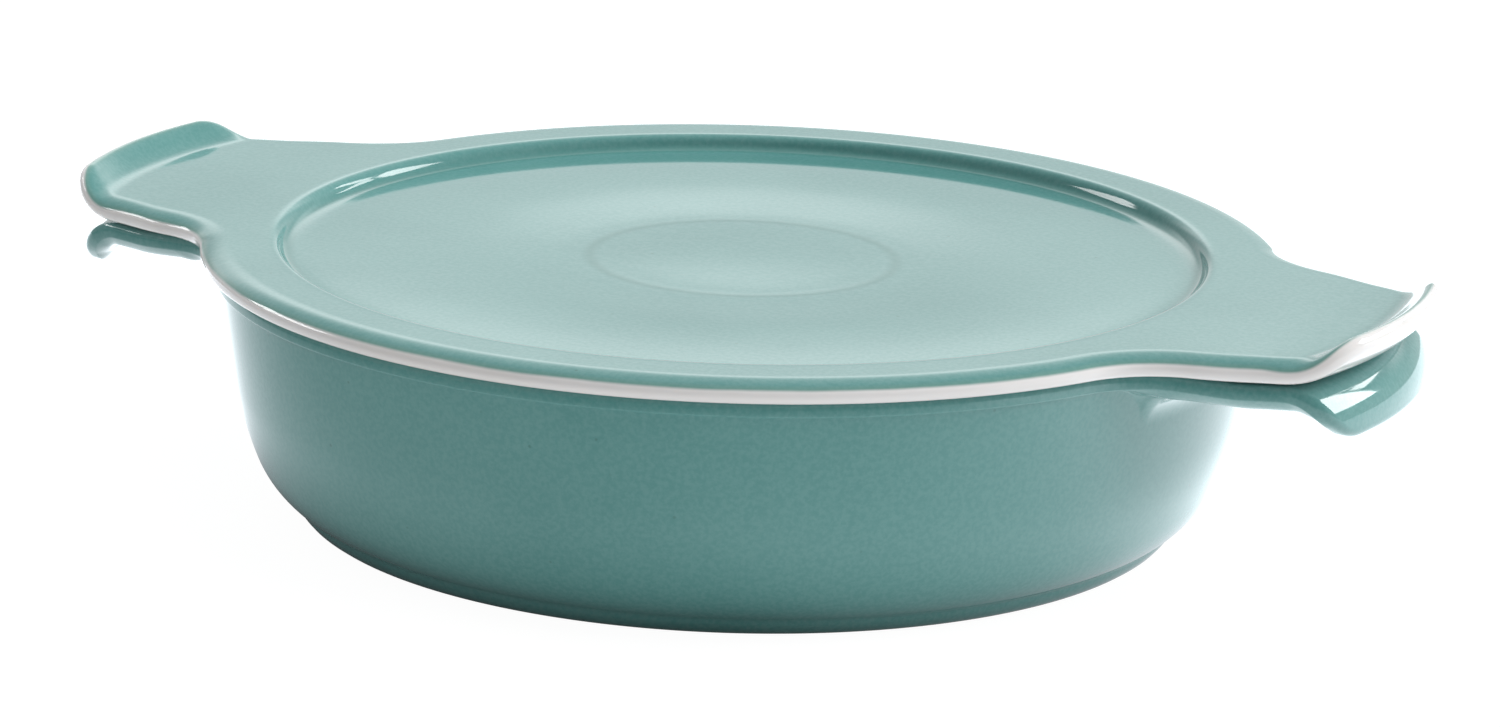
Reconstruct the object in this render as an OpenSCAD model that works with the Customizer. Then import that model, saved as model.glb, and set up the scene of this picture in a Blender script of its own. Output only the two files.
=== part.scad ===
// Round covered casserole dish: an oven dish with a foot ring and two tab
// handles that curl down at the tips, and a flat flanged lid with two matching
// tab handles that curl up. The lid rests on the dish rim and lifts straight off.
// Origin: middle of the foot ring, on the table plane. +Z up, handles along X.

/* [Overall] */
// Diameter of the lid's round rim
lid_d = 240; // [228:1:252]
// Height from the table to the top of the lid's rim
total_h = 61; // [56:1:70]

/* [Lid] */
// Thickness of the lid's rim
lid_t = 4.7; // [4:0.1:6]
// Width of the flat flange around the sunken middle
flange_w = 16.6; // [14:0.2:19]
// Depth of the sunken middle below the rim
recess_d = 3.3; // [2.6:0.1:4.2]
// Radius of the shallow ring in the middle of the lid
ring_r = 34; // [25:0.5:45]
// How far the locating plug reaches below the rim's top
plug_d = 8.7; // [8:0.1:11]

/* [Dish] */
// Rim radius of the dish, to the outside of its rim bead
dish_r = 117; // [111:0.5:119]
// Height of the rim bead's straight side
bead_h = 3.2; // [2.6:0.1:4]
// Wall thickness just below the rim
wall_t = 5; // [4:0.1:7]
// Thickness of the dish floor
floor_t = 4.2; // [3.5:0.1:6]
// Radius of the foot ring where it meets the table
foot_r = 94.6; // [84:0.2:98]

/* [Handles] */
// Distance from the middle to where the lid's handles start to curl up
lid_curl_x = 147; // [142:0.5:154]
// Radius of the lid handles' curl on its inner, upper face
lid_curl_r = 5; // [3:0.1:7]
// Angle the lid handles' tips turn up
lid_curl_a = 72; // [40:1:85]
// Distance from the middle to where the dish's handles start to curl down
dish_curl_x = 144.5; // [138:0.5:150]
// Radius of the dish handles' curl on its outer, upper face
dish_curl_r = 9.8; // [8:0.1:14]
// Angle the dish handles' tips turn down
dish_curl_a = 88; // [40:1:90]
// Half width of the handles at their narrow middle
grip_w = 40; // [34:0.5:44]
// Thickness of the dish's handles
dish_handle_t = 6; // [5:0.1:7]

/* [Hidden] */
glaze = [0.50, 0.70, 0.68];
$fn = 96;

lid_r = lid_d / 2;
lip_r = lid_r - flange_w;
lid_under = total_h - lid_t;
recess_z = total_h - recess_d;
plug_z = total_h - plug_d;
plug_edge_r = 1.6;

seat_gap = 0.05;
rim_z = lid_under - seat_gap;
rim_edge_r = 1.7; // upper outer edge of the dish's bead and handles
wall_r = dish_r - 1.4;
wall_slope = 0.17;
inner_r = dish_r - 1.7 - wall_t;
underside_z = 3.1;

taper = 15;         // angle at which the handles' sides close in
root_x = 97;        // where the handles start, inside the round body
root_overlap = 0.35;
tip_bow = 1.8;      // set-back of the handle tips at 20 mm off centre
face_inset = 0.03;  // keeps handle faces off the rim's faces

function smooth(a, b, x) =
  let(t = max(0, min(1, (x - a) / (b - a))))
  t * t * (3 - 2 * t);

// Points on an arc split into n steps, from step number `first` on.
function arc(cx, cz, r, from, to, n, first = 0) =
  [for (i = [first:n])
    let(a = from + (to - from) * i / n)
    [cx + r * cos(a), cz + r * sin(a)]];

function arc_length(r, angle) = r * angle * PI / 180;

function wall_at(z) = wall_r - wall_slope * (rim_z - 6 - z);

// ---- handle outline ----------------------------------------------------------
// The +Y half of a handle from root to tip, laid out flat. Each point is
// [along, across, outward normal x, y]. A concave fillet leaves the body's
// circle, a straight side on a line through [side_x, side_y] tapers inward,
// and a rounded corner meets the straight tip. steps: fillet, side, corner.
function half_outline(body_r, fillet_r, side_x, side_y, tip_x, corner_r, steps) =
  let(nx = sin(taper), ny = cos(taper),
      // slide the fillet's centre along the side until it touches the circle
      start_x = side_x + fillet_r * nx,
      start_y = side_y + fillet_r * ny,
      along = start_x * ny - start_y * nx,
      reach = body_r - root_overlap + fillet_r,
      slide = sqrt(along * along - start_x * start_x - start_y * start_y + reach * reach) - along,
      fillet_x = start_x + slide * ny,
      fillet_y = start_y - slide * nx,
      from = 180 + atan2(fillet_y, fillet_x),
      to = 270 - taper,
      foot_x = fillet_x + fillet_r * cos(from),
      foot_y = fillet_y + fillet_r * sin(from),
      // the straight side's two ends, and the corner's centre
      near_x = fillet_x - fillet_r * nx,
      near_y = fillet_y - fillet_r * ny,
      corner_x = tip_x - corner_r,
      corner_y = near_y - (corner_r + nx * (corner_x - near_x)) / ny,
      far_x = corner_x + corner_r * nx,
      far_y = corner_y + corner_r * ny)
  concat(
    [for (i = [0:2])
      [root_x + (foot_x - root_x) * i / 3, foot_y - 6 + 2 * i, -cos(from), -sin(from)]],
    [for (i = [0:steps[0] - 1])
      let(a = from + (to - from) * i / steps[0])
      [fillet_x + fillet_r * cos(a), fillet_y + fillet_r * sin(a), -cos(a), -sin(a)]],
    [for (i = [0:steps[1] - 1])
      let(f = i / steps[1])
      [near_x + (far_x - near_x) * f, near_y + (far_y - near_y) * f, nx, ny]],
    [for (i = [0:steps[2]])
      let(a = (90 - taper) * (1 - i / steps[2]))
      [corner_x + corner_r * cos(a), corner_y + corner_r * sin(a), cos(a), sin(a)]]);

// ---- handle curl -------------------------------------------------------------
// Maps a flat point and its depth below the top face onto the curled handle:
// straight to curl_x, then a bend up (dir = 1) or down (dir = -1). The top
// face sinks by dip on its way out, and the tip is bowed.
function curl(p, depth, top_z, curl_x, curl_r, curl_a, dir, dip) =
  let(x = p[0],
      bend = max(0, min(curl_a, (x - curl_x) / curl_r * 180 / PI)),
      rest = max(0, x - curl_x - arc_length(curl_r, curl_a)),
      bent_x = x <= curl_x ? x : curl_x + curl_r * sin(bend) + rest * cos(curl_a),
      rise = x <= curl_x ? 0 : dir * (curl_r * (1 - cos(bend)) + rest * sin(curl_a)),
      sink = dip * smooth(112, 138, x),
      back = tip_bow * pow(p[1] / 20, 2) * smooth(122, 148, x))
  [bent_x - back + dir * depth * sin(bend), p[1], top_z - sink + rise - depth * cos(bend)];

// Depth added to a handle's underside near the wall, fading out to the sides.
function root_fillet(p, fillet_r, body_r) =
  let(r = fillet_r * smooth(54, 40, abs(p[1])) + 0.01,
      out = norm(p) - body_r + 0.4)
  out >= r ? 0 : out <= 0 ? r - 0.6 * out : r - sqrt(r * r - pow(r - out, 2));

// ---- handle solid ------------------------------------------------------------
// Two triangles that close the quad a, b, c, d.
function quad(a, b, c, d) = [[a, c, b], [a, d, c]];

// One handle as a closed loft. half: half_outline() points; edge: edge profile
// from top to underside as [inset, depth]; cols: columns across the faces.
// under_r and under_wall_r are the root fillet's radius and its wall's radius.
module handle(half, edge, cols, top_z, curl_x, curl_r, curl_a, dir, dip,
              under_r = 0, under_wall_r = 0) {
  rows = len(half);
  last = len(edge) - 1;
  loop = 2 * rows + 2 * (cols - 1);
  rings = (last + 1) * loop;
  face_points = (rows - 2) * (cols - 1);
  fillet_top = edge[last - 3][1];

  // flat point in row i, a fraction f of the way from the +Y to the -Y side
  function across(i, f, k) =
    [half[i][0] - half[i][2] * edge[k][0],
     (half[i][1] - half[i][3] * edge[k][0]) * (1 - 2 * f)];

  // flat point j of a ring: out along +Y, over the tip, back along -Y, over the root
  function around(j, k) =
    j < rows ? across(j, 0, k)
    : j < rows + cols - 1 ? across(rows - 1, (j - rows + 1) / cols, k)
    : j < 2 * rows + cols - 1 ? across(2 * rows + cols - 2 - j, 1, k)
    : across(0, (loop - j) / cols, k);

  function place(p, k) =
    let(depth = edge[k][1],
        share = max(0, (depth - fillet_top) / (edge[last][1] - fillet_top)),
        extra = under_r > 0 ? share * root_fillet(p, under_r, under_wall_r) : 0)
    curl(p, depth + extra, top_z, curl_x, curl_r, curl_a, dir, dip);

  // point numbers on the rings and on the top (k = 0) and under (k = last) grids
  function ring(k, j) = k * loop + (j % loop);
  function grid(k, i, c) =
    c == 0 ? ring(k, i)
    : c == cols ? ring(k, 2 * rows + cols - 2 - i)
    : i == rows - 1 ? ring(k, rows + c - 1)
    : i == 0 ? ring(k, loop - c)
    : rings + (k == 0 ? 0 : face_points) + (i - 1) * (cols - 1) + c - 1;

  points = concat(
    [for (k = [0:last]) for (j = [0:loop - 1]) place(around(j, k), k)],
    [for (k = [0, last]) for (i = [1:rows - 2]) for (c = [1:cols - 1])
      place(across(i, c / cols, k), k)]);
  faces = concat(
    [for (k = [0:last - 1]) for (j = [0:loop - 1])
      each quad(ring(k, j), ring(k, j + 1), ring(k + 1, j + 1), ring(k + 1, j))],
    [for (i = [0:rows - 2]) for (c = [0:cols - 1])
      each quad(grid(0, i, c), grid(0, i, c + 1), grid(0, i + 1, c + 1), grid(0, i + 1, c))],
    [for (i = [0:rows - 2]) for (c = [0:cols - 1])
      each quad(grid(last, i, c), grid(last, i + 1, c),
                grid(last, i + 1, c + 1), grid(last, i, c + 1))]);
  polyhedron(points = points, faces = faces, convexity = 6);
}

// ---- lid ---------------------------------------------------------------------
// Edge profile [inset, depth]: a soft upper corner and a tighter lower one.
function lid_edge(n) =
  let(upper = 0.56 * lid_t, lower = 0.44 * lid_t)
  concat(
    [for (i = [0:n]) let(a = 90 * i / n) [4.2 * (1 - sin(a)), upper * (1 - cos(a))]],
    [for (i = [1:n - 1]) let(a = 90 * i / (n - 1)) [2 * (1 - cos(a)), upper + lower * sin(a)]]);

module lid_handle() {
  tip_x = lid_curl_x + arc_length(lid_curl_r, lid_curl_a) + 2.4;
  squeeze = (lid_t - 2 * face_inset) / lid_t;
  handle(
    half_outline(body_r = lid_r, fillet_r = 26, side_x = 139, side_y = grip_w,
                 tip_x = tip_x, corner_r = 14.5, steps = [9, 7, 8]),
    [for (p = lid_edge(4)) [p[0], face_inset + p[1] * squeeze]],
    cols = 6, top_z = total_h, curl_x = lid_curl_x, curl_r = lid_curl_r,
    curl_a = lid_curl_a, dir = 1, dip = 0.5);
}

// rim disc with the locating plug below it
module lid_round() rotate_extrude() polygon(concat(
  [[0, total_h]],
  [for (p = lid_edge(8)) [lid_r - p[0], total_h - p[1]]],
  [[inner_r - 0.4, lid_under],
   [inner_r - 1, lid_under - 0.7],
   [inner_r - 1.3, plug_z + plug_edge_r]],
  arc(inner_r - 1.3 - plug_edge_r, plug_z + plug_edge_r, plug_edge_r, -10, -90, 5),
  [[60, plug_z + 0.4], [0, plug_z + 0.8]]));

// Floor of the sunken middle, with a slight dome inside the shallow ring:
// [radius, height above recess_z]
recess_floor = [
  [0, -0.3], [ring_r * 0.4, -0.33], [ring_r * 0.75, -0.4],
  [ring_r - 1.8, -0.42], [ring_r, -0.5], [ring_r + 1.8, -0.42], [ring_r + 5.5, -0.38],
  [ring_r * 0.6 + 41.6, -0.08], [82, 0.02], [lip_r - 5.2, 0]];

module lid_recess() rotate_extrude() polygon(concat(
  [[0, total_h + 5]],
  [for (p = recess_floor) [p[0], recess_z + p[1]]],
  arc(lip_r - 3.4, recess_z + 1.6, 1.6, -90, -25, 4),
  arc(lip_r + 0.6, total_h - 1.7, 1.7, 160, 95, 5),
  [[lip_r + 1.2, total_h + 5]]));

module lid() {
  color(glaze) difference() {
    union() {
      lid_round();
      for (turn = [0, 180]) rotate([0, 0, turn]) lid_handle();
    }
    lid_recess();
  }
}

// ---- dish --------------------------------------------------------------------
module dish_handle() {
  t = dish_handle_t;
  tip_x = dish_curl_x + arc_length(dish_curl_r, dish_curl_a) + 2.8;
  edge = concat(
    [for (i = [0:3])
      let(a = 30 * i)
      [rim_edge_r * (1 - sin(a)), face_inset + rim_edge_r * (1 - cos(a))]],
    [[0, bead_h - 0.1],
     [1.2, bead_h + (t - bead_h) * 0.42],
     [2.9, bead_h + (t - bead_h) * 0.83],
     [5.4, t]]);
  handle(
    half_outline(body_r = dish_r, fillet_r = 24, side_x = 137, side_y = grip_w - 2,
                 tip_x = tip_x, corner_r = 14, steps = [10, 8, 8]),
    edge, cols = 10, top_z = rim_z, curl_x = dish_curl_x, curl_r = dish_curl_r,
    curl_a = dish_curl_a, dir = -1, dip = 1.4,
    under_r = 8, under_wall_r = wall_at(rim_z - t));
}

// Belly: two arcs below the straight wall, scaled with the dish's height.
belly_z = total_h / 2 + 0.5;
belly_r = wall_at(belly_z);
belly_scale = (belly_z - 3.9) / 27.1;

function arc_on(start, r, from, to) =
  arc(start[0] - r * cos(from), start[1] - r * sin(from), r, from, to, 8, first = 1);

upper_belly = arc_on([belly_r, belly_z], 83.1 * belly_scale, -9.65, -21.8);
lower_belly = arc_on(upper_belly[7], 20.6 * belly_scale, -21.8, -58.6);

// outside of the round body: rim bead, tapering wall, belly, foot ring
module dish_round() rotate_extrude() polygon(concat(
  [[0, rim_z]],
  arc(dish_r - rim_edge_r, rim_z - rim_edge_r, rim_edge_r, 90, 0, 5),
  [[dish_r, rim_z - bead_h + 0.35],
   [dish_r - 0.25, rim_z - bead_h],
   [wall_at(rim_z - 3.9) + 0.1, rim_z - 3.9],
   [belly_r, belly_z]],
  upper_belly,
  lower_belly,
  [[lower_belly[7][0] - 0.3, underside_z], [foot_r + 4.3, 2.4]],
  arc(foot_r + 0.5, 3.4, 3.4, -25, -85, 5),
  [[foot_r, 0], [foot_r - 2.6, 0], [foot_r - 4.4, 0.7],
   [foot_r - 5.8, 2.5], [foot_r - 8.4, 3], [0, underside_z]]));

// Inside corner between floor and wall: [inset from belly_r, height less floor_t]
cavity_corner = [[19.5, 4.2], [14.5, 6.6], [10.5, 11], [7.6, 17], [5.8, 24]];

module dish_cavity() rotate_extrude() polygon(concat(
  [[0, rim_z + 10], [0, underside_z + floor_t], [78, 3.3 + floor_t]],
  [for (p = cavity_corner) [belly_r - p[0], p[1] + floor_t]],
  [[inner_r - 0.7, rim_z - 6]],
  arc(inner_r + 2.2, rim_z - 2, 2, 180, 92, 5),
  [[inner_r + 2.2, rim_z + 10]]));

module dish() {
  color(glaze) difference() {
    union() {
      dish_round();
      for (turn = [0, 180]) rotate([0, 0, turn]) dish_handle();
    }
    dish_cavity();
  }
}

dish();
lid();
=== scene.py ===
"""Covered casserole dish: a glazed dish and its lid, each one lofted mesh.

The dish stands on z = 0, centred on the z axis, with its handles along +x and -x. The lid
rests on its rim. Lid handles curl up, dish handles curl down. Meshes are worked out in
millimetres and built in metres; materials, lights and camera are in metres.
"""

from math import atan, atan2, cos, hypot, pi, radians, sin, sqrt

import bpy
import numpy as np
from mathutils import Matrix, Vector


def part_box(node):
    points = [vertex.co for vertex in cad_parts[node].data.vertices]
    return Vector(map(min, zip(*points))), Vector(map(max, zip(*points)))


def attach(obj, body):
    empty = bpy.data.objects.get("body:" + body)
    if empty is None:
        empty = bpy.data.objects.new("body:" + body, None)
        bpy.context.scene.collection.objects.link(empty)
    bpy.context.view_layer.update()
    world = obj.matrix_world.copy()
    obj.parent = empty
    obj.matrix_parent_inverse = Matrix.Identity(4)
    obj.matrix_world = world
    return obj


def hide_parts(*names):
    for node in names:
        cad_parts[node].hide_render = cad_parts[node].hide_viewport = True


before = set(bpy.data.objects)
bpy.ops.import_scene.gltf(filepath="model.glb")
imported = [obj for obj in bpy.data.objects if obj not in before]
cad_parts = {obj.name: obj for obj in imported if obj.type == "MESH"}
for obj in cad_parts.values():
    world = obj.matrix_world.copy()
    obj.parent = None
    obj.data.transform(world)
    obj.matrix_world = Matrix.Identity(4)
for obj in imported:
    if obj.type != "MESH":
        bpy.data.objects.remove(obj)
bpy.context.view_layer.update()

# ---------------------------------------------------------------- sizes, in millimetres
_, dish_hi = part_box("dish")
_, lid_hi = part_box("lid")
LID_R = lid_hi.y * 1000.0
DISH_R = dish_hi.y * 1000.0
DISH_TOP = dish_hi.z * 1000.0
LID_RIM_T = 4.7
LID_GAP = 0.05
LID_TOP = DISH_TOP + LID_GAP + LID_RIM_T  # top face of the lid's rim

HANDLE_STEP = 1.0  # outline point spacing on the handles
ROUND_STEP = 2.0  # and on the round part
END_BOW = 1.8  # how far a handle's end falls back, 20 mm to either side of its middle

# glaze_side is a distance from the line where the glazes meet: green below 0, white above
GREEN_SIDE, WHITE_SIDE = -12.0, 12.0

# curl: where it starts, its radius and angle (degrees), +1 up or -1 down;
# dip: how far the handle drops and over which stretch; window: smoothing samples
LID_CURL = dict(start=146.6, radius=5.0, angle=68, up=1, dip=0.3, dip_span=(110, 140), window=281)
DISH_CURL = dict(start=144.5, radius=9.8, angle=88, up=-1, dip=1.4, dip_span=(112, 136), window=101)


# ---------------------------------------------------------------- shared geometry
def smooth(a, b, x):
    t = np.clip((np.asarray(x, float) - a) / (b - a), 0, 1)
    return t * t * (3 - 2 * t)


def blend(a, b, f):
    return a * (1 - f) + b * f


def shares(count, power):
    """Shares of the way from 0 to 1, denser towards the end if power is above 1."""
    return [1 - (1 - k / count) ** power for k in range(1, count + 1)]


def curl_end(curl, lip):
    """Flat distance from the axis to the handle's tip, a lip beyond the curl."""
    return curl["start"] + curl["radius"] * radians(curl["angle"]) + lip


def outline(rim_r, fillet_r, side_point, slope, tip, corner_r):
    """Closed outline of the flat plan, counter-clockwise: rows of (u, v, normal u, normal v).

    Each quarter has a straight tip, a rounded corner, a straight side through side_point
    that slopes by so many degrees, a concave fillet and the rim circle.
    """
    slope = radians(slope)
    normal, along = (sin(slope), cos(slope)), (cos(slope), -sin(slope))
    # fillet centre: on a parallel to the side, fillet_r outside the rim circle
    u0, v0 = side_point[0] + fillet_r * normal[0], side_point[1] + fillet_r * normal[1]
    half = u0 * along[0] + v0 * along[1]
    root = sqrt(half * half - (u0 * u0 + v0 * v0 - (rim_r + fillet_r) ** 2))
    shift = min((-half - root, -half + root), key=abs)
    fillet_u, fillet_v = u0 + shift * along[0], v0 + shift * along[1]
    side_u, side_v = fillet_u - fillet_r * normal[0], fillet_v - fillet_r * normal[1]
    azimuth = atan2(fillet_v, fillet_u)
    corner_u = tip - corner_r
    corner_v = side_v - (corner_r + sin(slope) * (corner_u - side_u)) / cos(slope)
    points = []

    def arc(u, v, r, start, end, count, sign):
        for i in range(count):
            a = start + (end - start) * i / count
            points.append((u + r * cos(a), v + r * sin(a), sign * cos(a), sign * sin(a)))

    count = max(2, int(corner_v / HANDLE_STEP))
    points += [(tip, corner_v * i / count, 1, 0) for i in range(count)]
    turn = pi / 2 - slope
    count = max(12, int(corner_r * turn / HANDLE_STEP * 1.5))
    arc(corner_u, corner_v, corner_r, 0, turn, count, 1)
    u, v = corner_u + corner_r * cos(turn), corner_v + corner_r * sin(turn)
    count = max(1, int(hypot(u - side_u, v - side_v) / HANDLE_STEP))
    for i in range(count):
        points.append((u + (side_u - u) * i / count, v + (side_v - v) * i / count, *normal))
    start, end = 1.5 * pi - slope, pi + azimuth
    count = max(4, int(fillet_r * abs(start - end) / HANDLE_STEP))
    arc(fillet_u, fillet_v, fillet_r, start, end, count, -1)
    # the round part starts fine and becomes coarser
    turn = pi / 2 - azimuth
    count = max(8, int(rim_r * turn / ROUND_STEP))
    for i in range(count):
        f = i / count
        a = azimuth + turn * (0.55 * f + 0.45 * f * f)
        points.append((rim_r * cos(a), rim_r * sin(a), cos(a), sin(a)))
    quarter = np.array(points + [(0, rim_r, 0, 1)])
    upper = np.vstack([quarter, quarter[:-1][::-1] * [-1, 1, -1, 1]])
    whole = np.vstack([upper, upper[1:-1][::-1] * [1, -1, 1, -1]])
    # even out the normals where the curvature jumps
    for _ in range(3):
        n = whole[:, 2:] * 2 + np.roll(whole[:, 2:], 1, 0) + np.roll(whole[:, 2:], -1, 0)
        whole[:, 2:] = n / np.linalg.norm(n, axis=1)[:, None]
    return whole


def bend(top, start, radius, angle, up, dip, dip_span, window):
    """Returns a map from flat points (u, v, depth below the top face) onto the curled shape."""
    flat = np.linspace(0, 190, 7601)
    tilt = np.clip((flat - start) / radius, 0, radians(angle))
    kernel = np.hanning(window)
    kernel /= kernel.sum()
    tilt = np.convolve(np.pad(tilt, window // 2, mode="edge"), kernel, mode="valid") * up
    step = flat[1] - flat[0]
    mid = (tilt[1:] + tilt[:-1]) / 2
    path_x = np.concatenate([[0], np.cumsum(np.cos(mid)) * step])
    path_z = np.concatenate([[0], np.cumsum(np.sin(mid)) * step]) - dip * smooth(*dip_span, flat)

    def place(points):
        u, v, depth = points[..., 0], points[..., 1], points[..., 2]
        dist = np.abs(u)
        x, z, a = (np.interp(dist, flat, curve) for curve in (path_x, path_z, tilt))
        x = x - END_BOW * (v / 20) ** 2 * smooth(122, 148, dist)
        x = np.sign(u) * (x + depth * np.sin(a))
        return np.stack([x, v, top + z - depth * np.cos(a)], -1)

    return place


class Loft:
    """Rings from the middle of the top, round the edge, to the middle of the underside."""

    def __init__(self, plan):
        self.edge, self.normal = plan[:, :2], plan[:, 2:]
        azimuth = np.arctan2(plan[:, 1], plan[:, 0])
        self.circle = np.stack([np.cos(azimuth), np.sin(azimuth)], -1)
        self.count = len(plan)
        self.rings, self.sides = [], []

    def add(self, uv, depth, side):
        depth, side = (np.broadcast_to(a, self.count).astype(float) for a in (depth, side))
        self.rings.append(np.column_stack([uv, depth]))
        self.sides.append(side)

    def add_circle(self, r, depth, side):
        self.add(self.circle * r, depth, side)

    def inset(self, distance):
        return self.edge - self.normal * distance

    def last(self):
        return self.rings[-1][:, :2]

    def mesh(self, name, place):
        rings = [place(ring) for ring in self.rings]
        n, count = self.count, len(rings)
        verts = np.vstack(rings + [rings[0].mean(0), rings[-1].mean(0)]) / 1000.0
        i = np.arange(n)
        j = (i + 1) % n
        quads = []
        for k in range(count - 1):
            a, b = k * n, (k + 1) * n
            quads += np.stack([a + i, b + i, b + j, a + j], -1).tolist()
        top, last = count * n, (count - 1) * n
        pairs = list(zip(i.tolist(), j.tolist()))
        tris = [[top, a, b] for a, b in pairs]
        tris += [[top + 1, last + b, last + a] for a, b in pairs]
        mesh = bpy.data.meshes.new(name)
        mesh.from_pydata(verts.tolist(), [], quads + tris)
        mesh.validate()
        mesh.polygons.foreach_set("use_smooth", [True] * len(mesh.polygons))
        attribute = mesh.attributes.new("glaze_side", "FLOAT", "POINT")
        ends = [[self.sides[0].mean()], [self.sides[-1].mean()]]
        values = np.concatenate(self.sides + ends)
        attribute.data.foreach_set("value", values.astype(np.float32))
        mesh.update()
        ob = bpy.data.objects.new(name, mesh)
        bpy.context.scene.collection.objects.link(ob)
        return ob


# ---------------------------------------------------------------- lid
# top face, middle to rim: radius, depth below the rim's top
LID_FACE = [
    (2, 3.47), (8, 3.495), (14, 3.555), (20, 3.635), (24, 3.69), (27, 3.72), (29.5, 3.733),
    (31.2, 3.735), (32.4, 3.745), (33.3, 3.76), (34, 3.767), (34.7, 3.76), (35.6, 3.745),
    (36.8, 3.732), (38.5, 3.712), (40.5, 3.675), (43, 3.61), (47, 3.50), (52, 3.36), (56, 3.25),
    (60, 3.16), (63, 3.11), (67, 3.07), (72, 3.055), (78, 3.06), (84, 3.11), (90, 3.22),
    (94, 3.32), (97, 3.38), (98.6, 3.36), (99.7, 3.27), (100.6, 3.11), (101.3, 2.8),
    (101.75, 2.45), (102.05, 2.05), (102.3, 1.62), (102.5, 1.28), (102.75, 0.94), (103.05, 0.62),
    (103.4, 0.36), (103.8, 0.17), (104.3, 0.05), (105.0, 0.0), (106.0, 0.0), (106.8, 0.0),
]
# underside inside the rim, outside to middle: radius, depth below the rim's top
LID_UNDER = [
    (110.1, 4.78), (109.75, 5.05), (109.55, 5.4), (109.4, 6.0), (109.25, 6.7), (109.0, 7.4),
    (108.55, 7.95), (107.9, 8.35), (107.0, 8.6), (105.6, 8.7), (103, 8.7), (92, 8.64),
    (76, 8.52), (56, 8.32), (34, 8.1), (14, 7.96), (2, 7.92),
]
LID_UNDER_R = 110.6  # inner circle of the rim's flat underside
EDGE_UPPER, EDGE_LOWER = (6.4, 0.56, 14), (2.0, 0.44, 10)  # width, share of thickness, steps


def lid_edge(thickness):
    """Rows of (inset, depth, arc distance below the widest line): soft above, tighter below."""
    width, share, steps = EDGE_UPPER
    rows = []
    for k in range(steps + 1):
        a = pi / 2 * k / steps
        rows.append((width * (1 - sin(a)), share * thickness * (1 - cos(a))))
    low_width, low_share, low_steps = EDGE_LOWER
    for k in range(1, low_steps + 1):
        a = pi / 2 * k / low_steps
        rows.append((low_width * (1 - cos(a)), share * thickness + low_share * thickness * sin(a)))
    rows = np.array(rows)
    dist = np.concatenate([[0], np.cumsum(np.hypot(*np.diff(rows, axis=0).T))])
    return np.column_stack([rows, dist - dist[steps]])


def make_lid():
    tip = curl_end(LID_CURL, lip=2.4)
    loft = Loft(outline(LID_R, fillet_r=26.0, side_point=(139.0, 40.0), slope=15.0,
                        tip=tip, corner_r=14.5))
    for r, depth in LID_FACE:
        loft.add_circle(r, depth, GREEN_SIDE)
    # flat top of rim and handles; the handles are a little thicker
    reach = np.abs(loft.edge[:, 0])
    thickness = LID_RIM_T + 0.2 * smooth(112, 138, reach)
    edge = np.array([lid_edge(t) for t in thickness])  # outline point, step, column
    edge[:, :, 2] += (1.25 - 0.9 * smooth(140, 152, reach))[:, None]
    inner, outer = loft.last(), loft.inset(edge[:, 0, :1])
    for f in shares(44, 1.5):
        side = np.maximum(GREEN_SIDE, edge[:, 0, 2] - (1 - f) * 8)
        loft.add(blend(inner, outer, f), 0.0, side)
    for k in range(1, edge.shape[1]):
        loft.add(loft.inset(edge[:, k, :1]), edge[:, k, 1], edge[:, k, 2])
    # flat underside
    outer, inner = loft.last(), loft.circle * LID_UNDER_R
    for k in range(1, 37):
        f = (k / 36) ** 1.5
        side = np.minimum(WHITE_SIDE, 2.5 + f * 10)
        loft.add(blend(outer, inner, f), blend(thickness, LID_RIM_T, f), side)
    for r, depth in LID_UNDER:
        loft.add_circle(r, depth, WHITE_SIDE)
    return loft.mesh("lid_body", bend(LID_TOP, **LID_CURL))


# ---------------------------------------------------------------- dish
DISH_HANDLE_T = 6.0
DISH_RIM_T = 3.3
WALL_INSET = 1.4  # wall inside the rim radius, at the depth of the handles' underside
WALL_SLOPE = 0.17  # radius lost per height
# inside, middle to rim: radius, height
DISH_INSIDE = [
    (2, 7.3), (30, 7.32), (55, 7.4), (74, 7.5), (84, 7.8), (90, 8.3), (94.4, 9.2), (97.6, 10.7),
    (100.0, 12.8), (101.8, 15.4), (103.2, 18.6), (104.3, 22.5), (105.2, 27), (106.1, 32),
    (107.0, 38), (108.0, 44), (108.9, 50), (109.5, 53.2),
]
# inner lip: radius, depth below the rim's top, glaze side
DISH_LIP = [
    (109.75, 1.7, 3.2), (110.0, 1.05, 2.5), (110.45, 0.5, 1.8), (111.1, 0.14, 1.1),
    (111.9, 0.0, 0.3), (112.6, 0.0, -0.4),
]
EDGE_ROUND = 1.7  # radius of the edge's upper rounding
# outer edge of rim and handles: inset, depth
DISH_EDGE = [(0, 2.3), (0, 2.85), (0.05, 3.08), (0.2, 3.25)]
# lower rounding at full handle thickness: inset, depth
DISH_EDGE_UNDER = [
    (0.55, 3.6), (1.2, 4.2), (1.9, 4.8), (2.7, 5.35), (3.6, 5.75), (4.6, 5.95), (5.6, 6.0),
]
FILLET_MIN = 0.3  # smallest fillet between underside and wall
WALL_EVEN_END = 40.5  # height where the evenly shared wall rings end
WALL_HEIGHTS = (WALL_EVEN_END - 1.2, 37.5, 34.2, 31.0)
# two arcs below the wall: radius, angle below horizontal at the end (degrees), steps
BASE_ARCS = [(83.1, 21.8, 10), (20.6, 58.6, 14)]
# foot ring: distance inside the arcs' end, height, glaze side
DISH_FOOT = [
    (0.25, 3.35, GREEN_SIDE), (0.42, 2.9, GREEN_SIDE), (0.95, 2.0, -3.0), (1.75, 1.1, -1.3),
    (2.75, 0.42, -0.1), (3.9, 0.06, 1.1), (4.9, 0.0, 2.0), (6.6, 0.0, 3.0),
]
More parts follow.
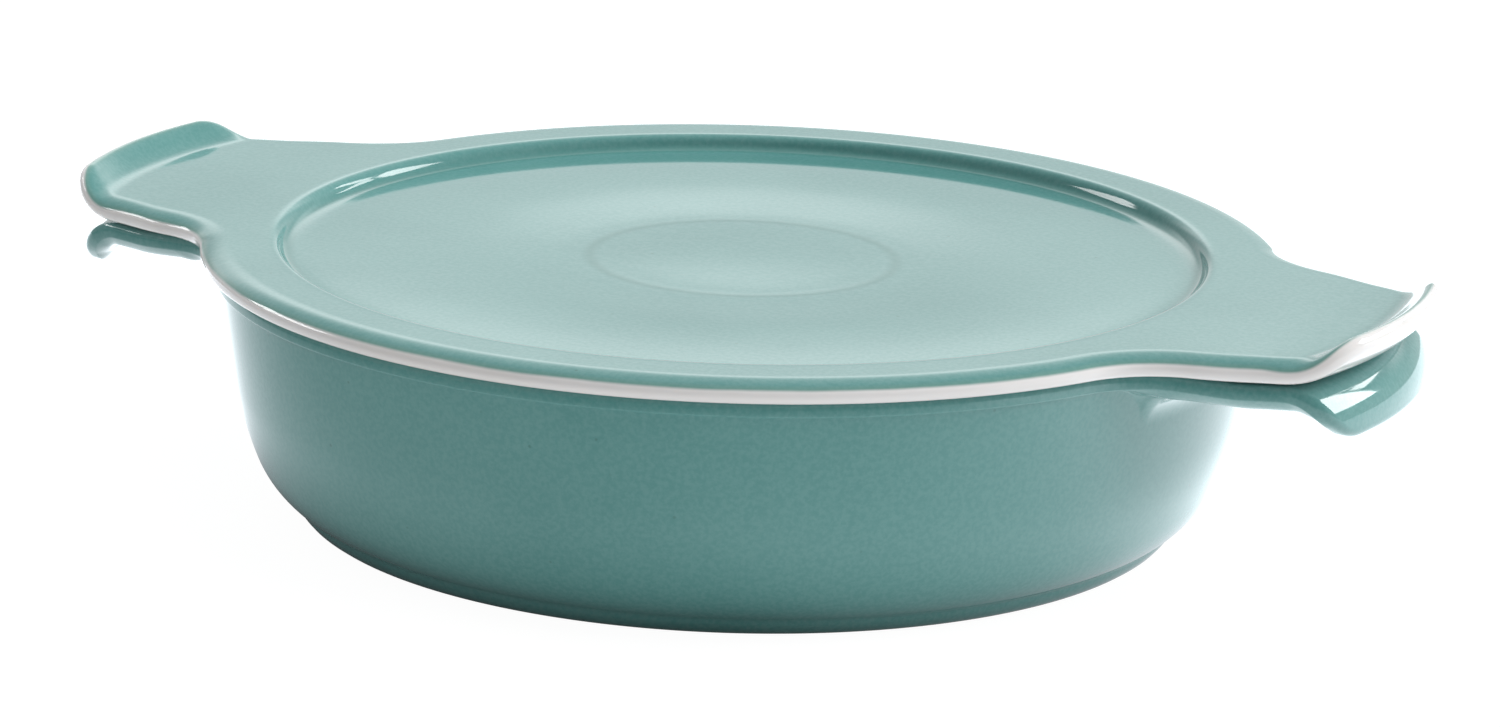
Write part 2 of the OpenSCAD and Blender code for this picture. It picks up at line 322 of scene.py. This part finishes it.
# underside within the foot: radius, height
DISH_UNDER = [
    (91.3, 0.12), (90.5, 0.6), (89.9, 1.3), (89.3, 2.0), (88.2, 2.6), (86.6, 2.95), (84, 3.02),
    (60, 3.08), (30, 3.1), (2, 3.1),
]


def wall(z):
    """Outer radius of the wall at a height."""
    return DISH_R - WALL_INSET - WALL_SLOPE * (DISH_TOP - DISH_HANDLE_T - z)


def add_flange(loft):
    """Top, edge and underside of rim and handles, and the fillet down to the wall."""
    inner, outer = loft.last(), loft.inset(EDGE_ROUND)
    for f in shares(44, 1.5):
        loft.add(blend(inner, outer, f), 0.0, -0.4 - 8 * f)
    for k in range(1, 8):
        a = pi / 2 * k / 7
        uv = outer + loft.normal * EDGE_ROUND * sin(a)
        loft.add(uv, EDGE_ROUND * (1 - cos(a)), GREEN_SIDE)
    for inset, depth in DISH_EDGE:
        loft.add(loft.inset(inset), depth, GREEN_SIDE)

    # the lower rounding shrinks where there is little room outside the wall
    edge_inset, edge_depth = DISH_EDGE[-1]
    full_inset = DISH_EDGE_UNDER[-1][0]
    over = np.maximum(np.hypot(*loft.edge.T) - DISH_R, 0)
    room = (over + DISH_R - wall(DISH_TOP - DISH_HANDLE_T))[:, None]
    squeeze = np.clip(room * 0.45 / full_inset, 0.2, 1.0)
    under = DISH_RIM_T + (DISH_HANDLE_T - DISH_RIM_T) * smooth(0, 9, over)
    base = loft.inset(edge_inset)
    for inset, depth in DISH_EDGE_UNDER:
        uv = base + (loft.inset(inset) - base) * squeeze
        scale = (under - edge_depth) / (DISH_HANDLE_T - edge_depth)
        loft.add(uv, edge_depth + (depth - edge_depth) * scale, GREEN_SIDE)

    wall_r = wall(DISH_TOP - under)[:, None]
    spare = np.clip(room - full_inset * squeeze, FILLET_MIN, 8.0)
    fillet = FILLET_MIN + (spare - FILLET_MIN) * smooth(3, 18, over)[:, None]
    outer, inner = loft.last(), loft.circle * (wall_r + fillet)
    for f in shares(30, 1.3):
        loft.add(blend(outer, inner, f), under, GREEN_SIDE)
    for k in range(1, 13):
        a = pi / 2 * k / 12
        drop = fillet * (1 - cos(a))
        r = wall_r + fillet - fillet * sin(a) - drop * WALL_SLOPE * sin(a)
        loft.add(loft.circle * r, under + drop[:, 0], GREEN_SIDE)
    start = under + fillet[:, 0]
    for f in shares(8, 1.0):
        depth = start + (DISH_TOP - WALL_EVEN_END - start) * f
        loft.add(loft.circle * wall(DISH_TOP - depth)[:, None], depth, GREEN_SIDE)


def make_dish():
    tip = curl_end(DISH_CURL, lip=2.8)
    loft = Loft(outline(DISH_R, fillet_r=24.0, side_point=(137.0, 38.0), slope=15.0,
                        tip=tip, corner_r=14.0))

    def ring(r, z, side):
        loft.add_circle(r, DISH_TOP - z, side)

    for r, z in DISH_INSIDE:
        ring(r, z, WHITE_SIDE)
    for r, depth, side in DISH_LIP:
        loft.add_circle(r, depth, side)
    add_flange(loft)
    for z in WALL_HEIGHTS:
        ring(wall(z), z, GREEN_SIDE)
    z = WALL_HEIGHTS[-1]
    r, start = wall(z), atan(WALL_SLOPE)
    for radius, end, steps in BASE_ARCS:
        end = radians(end)
        centre_r, centre_z = r - radius * cos(start), z + radius * sin(start)
        for a in np.linspace(start, end, steps)[1:]:
            r, z = centre_r + radius * cos(a), centre_z - radius * sin(a)
            ring(r, z, GREEN_SIDE)
        start = end
    ring(r - 0.12, z - 0.25, GREEN_SIDE)
    for inwards, z, side in DISH_FOOT:
        ring(r - inwards, z, side)
    for r, z in DISH_UNDER:
        ring(r, z, WHITE_SIDE)
    return loft.mesh("dish_body", bend(DISH_TOP, **DISH_CURL))


# ---------------------------------------------------------------- node helper
class Nodes:
    """Builds the node tree of a material or world."""

    def __init__(self, owner):
        owner.use_nodes = True
        self.tree = owner.node_tree
        self.tree.nodes.clear()

    def new(self, kind, **settings):
        node = self.tree.nodes.new(kind)
        for key, value in settings.items():
            setattr(node, key, value)
        return node

    def put(self, socket, value):
        if hasattr(value, "is_output"):
            self.tree.links.new(value, socket)
        else:
            socket.default_value = value

    def math(self, op, a, b=0.0):
        node = self.new("ShaderNodeMath", operation=op)
        for socket, value in zip(node.inputs, (a, b, 0.0)):
            self.put(socket, value)
        return node.outputs[0]

    def add(self, a, b):
        return self.math("ADD", a, b)

    def sub(self, a, b):
        return self.math("SUBTRACT", a, b)

    def mul(self, a, b):
        return self.math("MULTIPLY", a, b)

    def radius(self, x, y):
        return self.math("SQRT", self.add(self.mul(x, x), self.mul(y, y)))

    def xyz(self, vector):
        node = self.new("ShaderNodeSeparateXYZ")
        self.put(node.inputs[0], vector)
        return [node.outputs[axis] for axis in "XYZ"]

    def turned(self, vector):
        """Components to the camera's right, away from it, and up."""
        node = self.new("ShaderNodeVectorRotate", rotation_type="Z_AXIS")
        self.put(node.inputs["Vector"], vector)
        self.put(node.inputs["Angle"], -HEADING)
        return self.xyz(node.outputs[0])

    def noise(self, vector, scale, detail=2.0, rough=0.5):
        node = self.new("ShaderNodeTexNoise")
        for key, value in (("Vector", vector), ("Scale", scale), ("Detail", detail),
                           ("Roughness", rough)):
            self.put(node.inputs[key], value)
        return node.outputs["Fac"]

    def step(self, value, span, to=(0.0, 1.0)):
        """Smooth step over span, from to[0] to to[1]."""
        node = self.new("ShaderNodeMapRange", interpolation_type="SMOOTHSTEP")
        keys = ("Value", "From Min", "From Max", "To Min", "To Max")
        for key, number in zip(keys, (value, *span, *to)):
            self.put(node.inputs[key], number)
        return node.outputs[0]

    def mix(self, factor, a, b):
        node = self.new("ShaderNodeMix", data_type="RGBA", blend_type="MIX")
        for key, value in (("Factor", factor), (6, a), (7, b)):
            self.put(node.inputs[key], value)
        return node.outputs[2]

    def emission(self, strength, color=(1, 1, 1, 1)):
        node = self.new("ShaderNodeEmission")
        self.put(node.inputs["Color"], color)
        self.put(node.inputs["Strength"], strength)
        return node.outputs[0]

    def mix_shader(self, *inputs):
        node = self.new("ShaderNodeMixShader")
        for socket, value in zip(node.inputs, inputs):
            self.put(socket, value)
        return node.outputs[0]

    def output(self, kind, shader):
        self.put(self.new(kind).inputs["Surface"], shader)


# ---------------------------------------------------------------- glaze
def srgb(*channels):
    """Linear colour from 0 to 255 sRGB channels."""
    shares_ = [c / 255 for c in channels]
    return (*(c / 12.92 if c <= 0.04045 else ((c + 0.055) / 1.055) ** 2.4 for c in shares_), 1.0)


GREEN, GREEN_THICK = srgb(90, 145, 142), srgb(80, 138, 135)
GREEN_FINE, GREEN_SPECK = srgb(150, 190, 186), srgb(52, 84, 80)
GREEN_POOL, GREEN_THIN = srgb(52, 116, 110), srgb(120, 152, 138)
WHITE, WHITE_CLOUD = srgb(224, 222, 220), srgb(226, 225, 225)
BARE_DARK, BARE_PALE = srgb(206, 198, 186), srgb(226, 220, 210)
# deeper green circles on the lid: radius, half width (metres), amount
LID_POOLS = ((0.034, 0.0024, 0.45), (0.1008, 0.0022, 0.45))


def glaze(name, bare_foot=False, pools=()):
    material = bpy.data.materials.new(name)
    N = Nodes(material)
    place = N.new("ShaderNodeTexCoord").outputs["Object"]
    side = N.new("ShaderNodeAttribute", attribute_name="glaze_side").outputs["Fac"]
    # the meeting line wanders by a fraction of a millimetre
    wander = N.mul(N.sub(N.noise(place, scale=55.0, detail=3.0), 0.5), 0.55)
    side = N.add(side, wander)
    is_white = N.step(side, span=(-0.45, 0.5))
    # cloudy variation, fine mottling and dark specks
    cloud = N.noise(place, scale=14.0, detail=3.0)
    green = N.mix(N.step(cloud, span=(0.35, 0.65)), GREEN, GREEN_THICK)
    fine = N.noise(place, scale=900.0, rough=0.6)
    green = N.mix(N.step(fine, span=(0.3, 0.7), to=(0.0, 0.12)), green, GREEN_FINE)
    cells = N.new("ShaderNodeTexVoronoi", feature="F1")
    N.put(cells.inputs["Vector"], place)
    cells.inputs["Scale"].default_value = 260.0
    chosen = N.noise(place, scale=210.0, detail=1.0)
    dots = N.step(cells.outputs["Distance"], span=(0.05, 0.13), to=(1.0, 0.0))
    specks = N.mul(dots, N.step(chosen, span=(0.62, 0.68)))
    green = N.mix(N.mul(specks, 0.35), green, GREEN_SPECK)
    white = N.mix(N.step(cloud, span=(0.35, 0.65)), WHITE, WHITE_CLOUD)
    if pools:
        x, y, _ = N.xyz(place)
        radius = N.radius(x, y)
        for pool_r, half_width, amount in pools:
            off = N.math("ABSOLUTE", N.sub(radius, pool_r))
            pool = N.step(off, span=(0.0, half_width), to=(amount, 0.0))
            green = N.mix(pool, green, GREEN_POOL)
    # the green thins and turns greyer just before the meeting line
    thin = N.mul(N.step(side, span=(-1.8, -0.3)), 0.35)
    green = N.mix(thin, green, GREEN_THIN)
    base = N.mix(is_white, green, white)
    rough = N.step(fine, span=(0.3, 0.7), to=(0.055, 0.085))
    if bare_foot:
        # rough, unglazed clay on the lowest tenth of a millimetre
        bare = N.step(N.xyz(place)[2], span=(0.00002, 0.00012), to=(1.0, 0.0))
        grit = N.noise(place, scale=1600.0, detail=3.0, rough=0.7)
        base = N.mix(bare, base, N.mix(grit, BARE_DARK, BARE_PALE))
        rough = N.add(rough, N.mul(bare, 0.6))
    # long soft waves and a faint orange peel
    waves = N.mul(N.noise(place, scale=34.0), 1.0)
    peel = N.mul(N.noise(place, scale=420.0), 0.035)
    bump = N.new("ShaderNodeBump")
    surface = N.new("ShaderNodeBsdfPrincipled")
    for node, values in (
        (bump, {"Strength": 0.25, "Distance": 0.00014, "Height": N.add(waves, peel)}),
        (surface, {
            "Base Color": base,
            "Roughness": rough,
            "IOR": 1.52,
            "Subsurface Weight": N.mul(is_white, 0.12),
            "Subsurface Radius": (0.004, 0.0035, 0.003),
            "Subsurface Scale": 0.5,
            "Normal": bump.outputs[0],
        }),
    ):
        for key, value in values.items():
            N.put(node.inputs[key], value)
    N.output("ShaderNodeOutputMaterial", surface.outputs[0])
    return material


lid = make_lid()
dish = make_dish()
lid.data.materials.append(glaze("lid_glaze", pools=LID_POOLS))
dish.data.materials.append(glaze("dish_glaze", bare_foot=True))
for ob, body, slot in ((lid, "lid", "lid_glaze"), (dish, "dish", "dish_glaze")):
    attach(ob, body)
    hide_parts(body)

# ---------------------------------------------------------------- floor
scene = bpy.context.scene
scene.view_settings.view_transform = "Standard"
HEADING = 0.41093860  # the camera's heading, radians counter-clockwise from +y
FLOOR_DIFFUSE = 1.32  # glow the floor gives matt surfaces: painted bounce light
FLOOR_HALF = 4


def floor_material():
    """A white table: pale to the camera; to other rays it glows, a painted reflection in the glaze
    and painted bounce light, with a painted shadow under the dish.
    """
    material = bpy.data.materials.new("floor")
    N = Nodes(material)
    rays = N.new("ShaderNodeLightPath")
    x, y, _ = N.turned(N.new("ShaderNodeTexCoord").outputs["Object"])
    # painted shadow: the floor's glow is dark under the dish, a little less far out on the right
    reach = N.add(N.radius(x, y), N.mul(N.math("MAXIMUM", x, 0.0), 0.17))
    painted_shadow_factor = N.step(reach, span=(0.095, 0.145), to=(0.06, 1.0))
    # painted reflection: the floor's glow seen in the glaze grows to the right and away from the
    # camera, up to a limit
    growth = N.add(N.add(N.mul(x, 4.3), N.mul(y, 5.2)), 0.72)
    painted_reflection_glow = N.math("EXPONENT", N.math("MINIMUM", growth, 0.85))
    glossy = N.emission(N.mul(painted_reflection_glow, painted_shadow_factor), color=(0.93, 0.98, 1.03, 1))
    # painted bounce light: the floor's glow on matt surfaces falls off to the right and, faster, to
    # the left
    loss = N.math("MINIMUM", 0.6, N.math("MAXIMUM", N.mul(x, 2.2), N.mul(x, -3.2)))
    diffuse = N.emission(N.mul(painted_shadow_factor, N.sub(FLOOR_DIFFUSE, loss)))
    pale = N.new("ShaderNodeBsdfDiffuse")
    pale.inputs["Color"].default_value = (0.93, 0.93, 0.93, 1)
    seen = N.mix_shader(0.9, pale.outputs[0], N.emission(1.07))
    other = N.mix_shader(rays.outputs["Is Glossy Ray"], diffuse, glossy)
    shader = N.mix_shader(rays.outputs["Is Camera Ray"], other, seen)
    N.output("ShaderNodeOutputMaterial", shader)
    return material


mesh = bpy.data.meshes.new("floor")
corners = [(x * FLOOR_HALF, y * FLOOR_HALF, 0) for x, y in ((-1, -1), (1, -1), (1, 1), (-1, 1))]
mesh.from_pydata(corners, [], [[0, 1, 2, 3]])
floor = bpy.data.objects.new("floor", mesh)
scene.collection.objects.link(floor)
floor.data.materials.append(floor_material())

# ---------------------------------------------------------------- world
WORLD_DIFFUSE = 1.06  # share of the reflected room that lights matt surfaces
# brightness over the arc: degrees (0 behind the dish, 90 overhead, 180 in front), strength
SKY = [
    (0, 1.2), (10, 1.05), (12.3, 0.98), (14.0, 1.10), (15.1, 1.29), (16.4, 1.62), (18.5, 2.0),
    (21.5, 2.3), (24, 1.9), (28, 1.3), (35, 1.05), (50, 0.9), (65, 0.85), (80, 0.7),
    (100, 0.5), (130, 0.3), (180, 0.22),
]
SKY_SCALE = 4  # keeps the ramp's colours below 1


def build_world():
    """A soft box behind and above, a dim room in front, pale sides; white to the camera."""
    scene.world = bpy.data.worlds.new("studio")
    N = Nodes(scene.world)
    x, y, z = N.turned(N.new("ShaderNodeTexCoord").outputs["Generated"])
    degrees = N.mul(N.math("ARCTAN2", z, y), 180 / pi)
    ramp = N.new("ShaderNodeValToRGB")
    N.put(ramp.inputs[0], N.math("DIVIDE", degrees, 180.0))
    stops = ramp.color_ramp.elements
    while len(stops) < len(SKY):
        stops.new(0.5)
    for stop, (angle, strength) in zip(stops, SKY):
        stop.position = angle / 180
        stop.color = (*[strength / SKY_SCALE] * 3, 1)
    # the arc is brightest in the middle and fades out to the sides
    across = N.step(N.math("ABSOLUTE", x), span=(0.10, 0.26), to=(3.8, 2.7))
    arc = N.mul(ramp.outputs[0], across)
    narrow = N.step(N.math("ABSOLUTE", x), span=(0.35, 0.75), to=(1.0, 0.0))
    # side glow: mostly right, strongest near the horizon, weak in front
    right = N.mul(N.step(x, span=(0.3, 0.9)), 0.8)
    left = N.mul(N.step(x, span=(-0.3, -0.9)), 0.1)
    low = N.step(z, span=(0.1, 0.5), to=(1.0, 0.35))
    sides = N.mul(N.add(right, left), low)
    front = N.step(y, span=(-0.2, -0.8), to=(1.0, 0.25))
    room = N.add(N.mul(arc, narrow), N.mul(N.sub(1.0, narrow), 0.30))
    room = N.add(room, N.mul(sides, front))
    # matt surfaces also get a key light from the upper right
    rays = N.new("ShaderNodeLightPath")
    key = N.add(N.mul(x, 0.616), N.mul(z, 0.788))
    key = N.step(key, span=(0.80, 0.90), to=(0.0, 2.35))
    backgrounds = []
    for strength in (N.add(N.mul(room, WORLD_DIFFUSE), key), room, 1.0):
        node = N.new("ShaderNodeBackground")
        node.inputs["Color"].default_value = (1, 1, 1, 1)
        N.put(node.inputs["Strength"], strength)
        backgrounds.append(node.outputs[0])
    matt, glossy, seen = backgrounds
    other = N.mix_shader(rays.outputs["Is Glossy Ray"], matt, glossy)
    N.output("ShaderNodeOutputWorld", N.mix_shader(rays.outputs["Is Camera Ray"], other, seen))


build_world()


# ---------------------------------------------------------------- lights
def from_camera(x, y, z):
    """Object frame vector from one to the camera's right, away from it and up."""
    c, s = cos(HEADING), sin(HEADING)
    return Vector((x * c - y * s, x * s + y * c, z))


def softbox(name, at, size, power):
    """Rectangular light aimed at the dish; at is right of, away from the camera, and up."""
    light = bpy.data.lights.new(name, "AREA")
    light.shape = "RECTANGLE"
    light.size, light.size_y = size
    light.energy = power
    ob = bpy.data.objects.new(name, light)
    scene.collection.objects.link(ob)
    ob.location = from_camera(*at)
    ob.rotation_mode = "QUATERNION"
    aim = from_camera(0, 0, 0.05) - from_camera(*at)
    ob.rotation_quaternion = aim.to_track_quat("-Z", "Y")
    ob.visible_camera = False
    return ob


right = softbox("right", at=(0.92, 0.28, 0.47), size=(0.40, 0.40), power=5.0)
right.visible_diffuse = False
fill = softbox("right fill", at=(2.37, 0.72, 1.2), size=(1.0, 1.0), power=15.5)
fill.visible_glossy = False
softbox("left", at=(-0.80, 0.34, 0.50), size=(0.50, 0.15), power=1.6)
softbox("right back", at=(0.74, 0.62, 0.50), size=(0.30, 0.09), power=0.6)

# ---------------------------------------------------------------- camera
LENS = 148.8
DISTANCE = 1381.329  # from the aim point, millimetres
PITCH, ROLL = 0.26413035, 0.02920351  # looking down, and roll, radians
AIM_RIGHT, AIM_UP = 2.3303418, -28.1188828  # aim point from the middle of the lid's top


def add_camera():
    data = bpy.data.cameras.new("camera")
    data.lens, data.sensor_width, data.sensor_fit = LENS, 36.0, "HORIZONTAL"
    data.clip_start, data.clip_end = 0.05, 50.0
    camera = bpy.data.objects.new("camera", data)
    scene.collection.objects.link(camera)
    level, rise = Vector((1, 0, 0)), Vector((0, sin(PITCH), cos(PITCH)))
    right = level * cos(ROLL) + rise * sin(ROLL)
    up = rise * cos(ROLL) - level * sin(ROLL)
    back = Vector((0, -cos(PITCH), sin(PITCH)))
    position = (Vector((AIM_RIGHT, 0, LID_TOP + AIM_UP)) + back * DISTANCE) / 1000.0
    columns = [from_camera(*v) for v in (right, up, back, position)]
    rows = [[column[i] for column in columns] for i in range(3)]
    camera.matrix_world = Matrix(rows + [[0, 0, 0, 1]])
    scene.camera = camera


add_camera()
